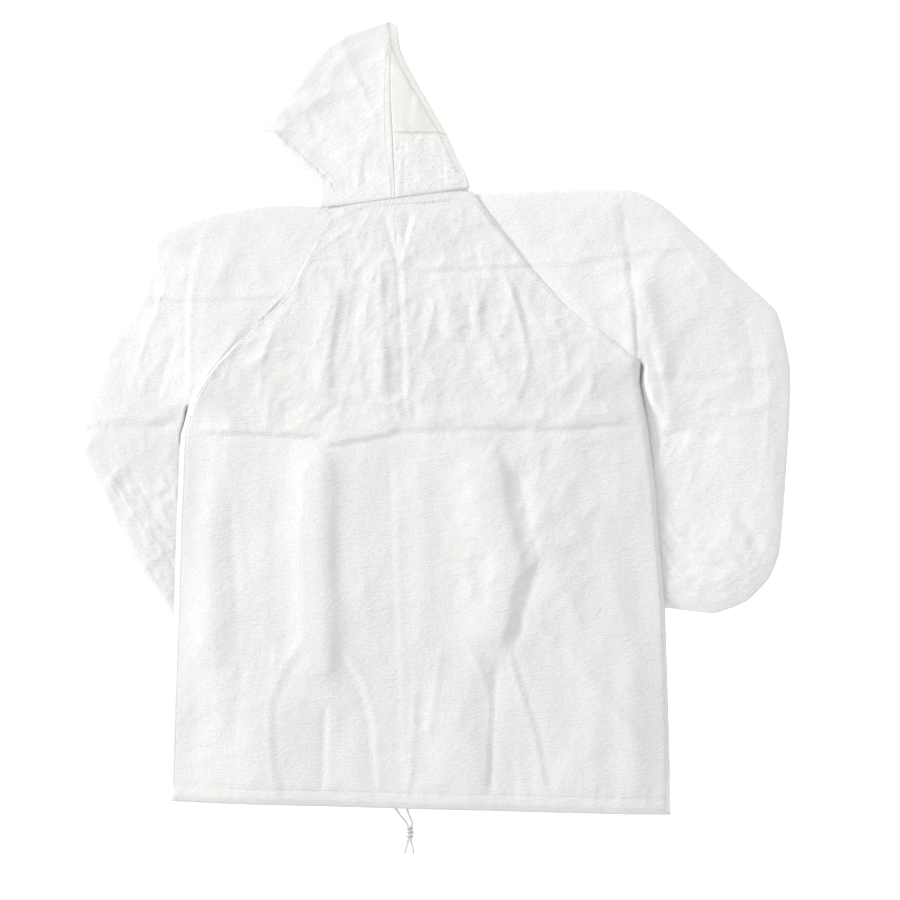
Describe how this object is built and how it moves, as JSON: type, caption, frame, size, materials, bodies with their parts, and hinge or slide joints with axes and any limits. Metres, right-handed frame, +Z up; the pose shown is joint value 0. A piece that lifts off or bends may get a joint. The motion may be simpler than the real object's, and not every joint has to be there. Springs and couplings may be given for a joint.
{
  "type": "beekeeping jacket",
  "caption": "Hooded beekeeping jacket of thin crinkled cloth, laid flat on its front, with raglan sleeves tucked under, a full front zip and a drawcord hem.",
  "frame": {"origin": "centre of the laid jacket's footprint, on the surface it lies on", "axes": "+Z up from the surface, +Y from the hem to the hood, +X towards the wearer's right"},
  "size_m": [0.927, 1.073, 0.0275],
  "materials": {
    "body_cloth": "thin white crepe with a fine crosswise crinkle",
    "sleeve_cloth": "thin white crepe with a fine crinkle",
    "hood_cloth": "thin white crepe, crinkled lengthwise at the neck",
    "hood_cream_cloth": "smooth cream cloth",
    "collar_cloth": "white crepe, double",
    "cuff_cloth": "gathered white crepe",
    "elastic": "woven white elastic",
    "cord": "braided white cord",
    "zip_tape": "woven white tape",
    "zip_teeth": "white moulded nylon",
    "zip_metal": "cast and plated, satin",
    "netting": "black knitted net"
  },
  "bodies": {
    "jacket": {"back_panel": "body_cloth", "front_left": "body_cloth", "front_right": "body_cloth", "left_sleeve": "sleeve_cloth", "right_sleeve": "sleeve_cloth", "back_hem_casing": "body_cloth", "front_hem_casing_left": "body_cloth", "front_hem_casing_right": "body_cloth", "hem_drawcord": "cord", "cord_strand_left": "cord", "cord_strand_right": "cord", "cord_end_left": "cord", "cord_end_right": "cord", "cord_knot": "cord", "left_waist_pocket": "body_cloth", "right_waist_pocket": "body_cloth", "chest_pocket": "body_cloth", "collar_band": "collar_cloth", "neck_zip_tape_collar": "zip_tape", "neck_zip_tape_hood": "zip_tape", "front_zip_tape_left": "zip_tape", "front_zip_tape_right": "zip_tape", "neck_zip_teeth_collar": "zip_teeth", "neck_zip_teeth_hood": "zip_teeth", "front_zip_teeth_left": "zip_teeth", "front_zip_teeth_right": "zip_teeth", "front_zip_box": "zip_teeth"},
    "hood": {"hood_side_panel": "hood_cloth", "hood_neck_band": "hood_cloth", "hood_back_panel": "hood_cream_cloth", "hood_under_panel": "hood_cloth", "face_rim_upper": "hood_cloth", "face_rim_lower": "hood_cloth", "veil": "netting"},
    "left_forearm": {"left_forearm_sleeve": "sleeve_cloth", "left_cuff": "cuff_cloth", "left_cuff_elastic": "elastic"},
    "right_forearm": {"right_forearm_sleeve": "sleeve_cloth", "right_cuff": "cuff_cloth", "right_cuff_elastic": "elastic"},
    "front_slider": {"front_zip_slider": "zip_metal"},
    "front_pull": {"front_zip_pull": "zip_metal"},
    "neck_slider": {"neck_zip_slider": "zip_metal"},
    "neck_pull": {"neck_zip_pull": "zip_metal"}
  },
  "joints": [
    {"name": "hood_fold", "type": "hinge", "parent": "jacket", "child": "hood", "pos_m": [-0.05, 0.289, 0.026], "axis": [0.9911, 0.1328, 0], "range_deg": [0, 170]},
    {"name": "left_elbow", "type": "hinge", "parent": "jacket", "child": "left_forearm", "pos_m": [-0.463, -0.029, 0.006], "axis": [0, 0, 1], "range_deg": [-37, 0]},
    {"name": "right_elbow", "type": "hinge", "parent": "jacket", "child": "right_forearm", "pos_m": [0.45, -0.172, 0.006], "axis": [0, 0, 1], "range_deg": [0, 85]},
    {"name": "front_zip_slide", "type": "slide", "parent": "jacket", "child": "front_slider", "axis": [0, 1, 0], "range_m": [-0.735, 0]},
    {"name": "front_pull_hinge", "type": "hinge", "parent": "front_slider", "child": "front_pull", "pos_m": [-0.045, 0.264, 0.0009], "axis": [1, 0, 0], "range_deg": [0, 170]},
    {"name": "neck_zip_slide", "type": "slide", "parent": "jacket", "child": "neck_slider", "axis": [0.9911, 0.1328, 0], "range_m": [-0.11, 0]},
    {"name": "neck_pull_hinge", "type": "hinge", "parent": "neck_slider", "child": "neck_pull", "pos_m": [0.00287, 0.30855, 0.0009], "axis": [0.1328, -0.9911, 0], "range_deg": [0, 170]}
  ]
}
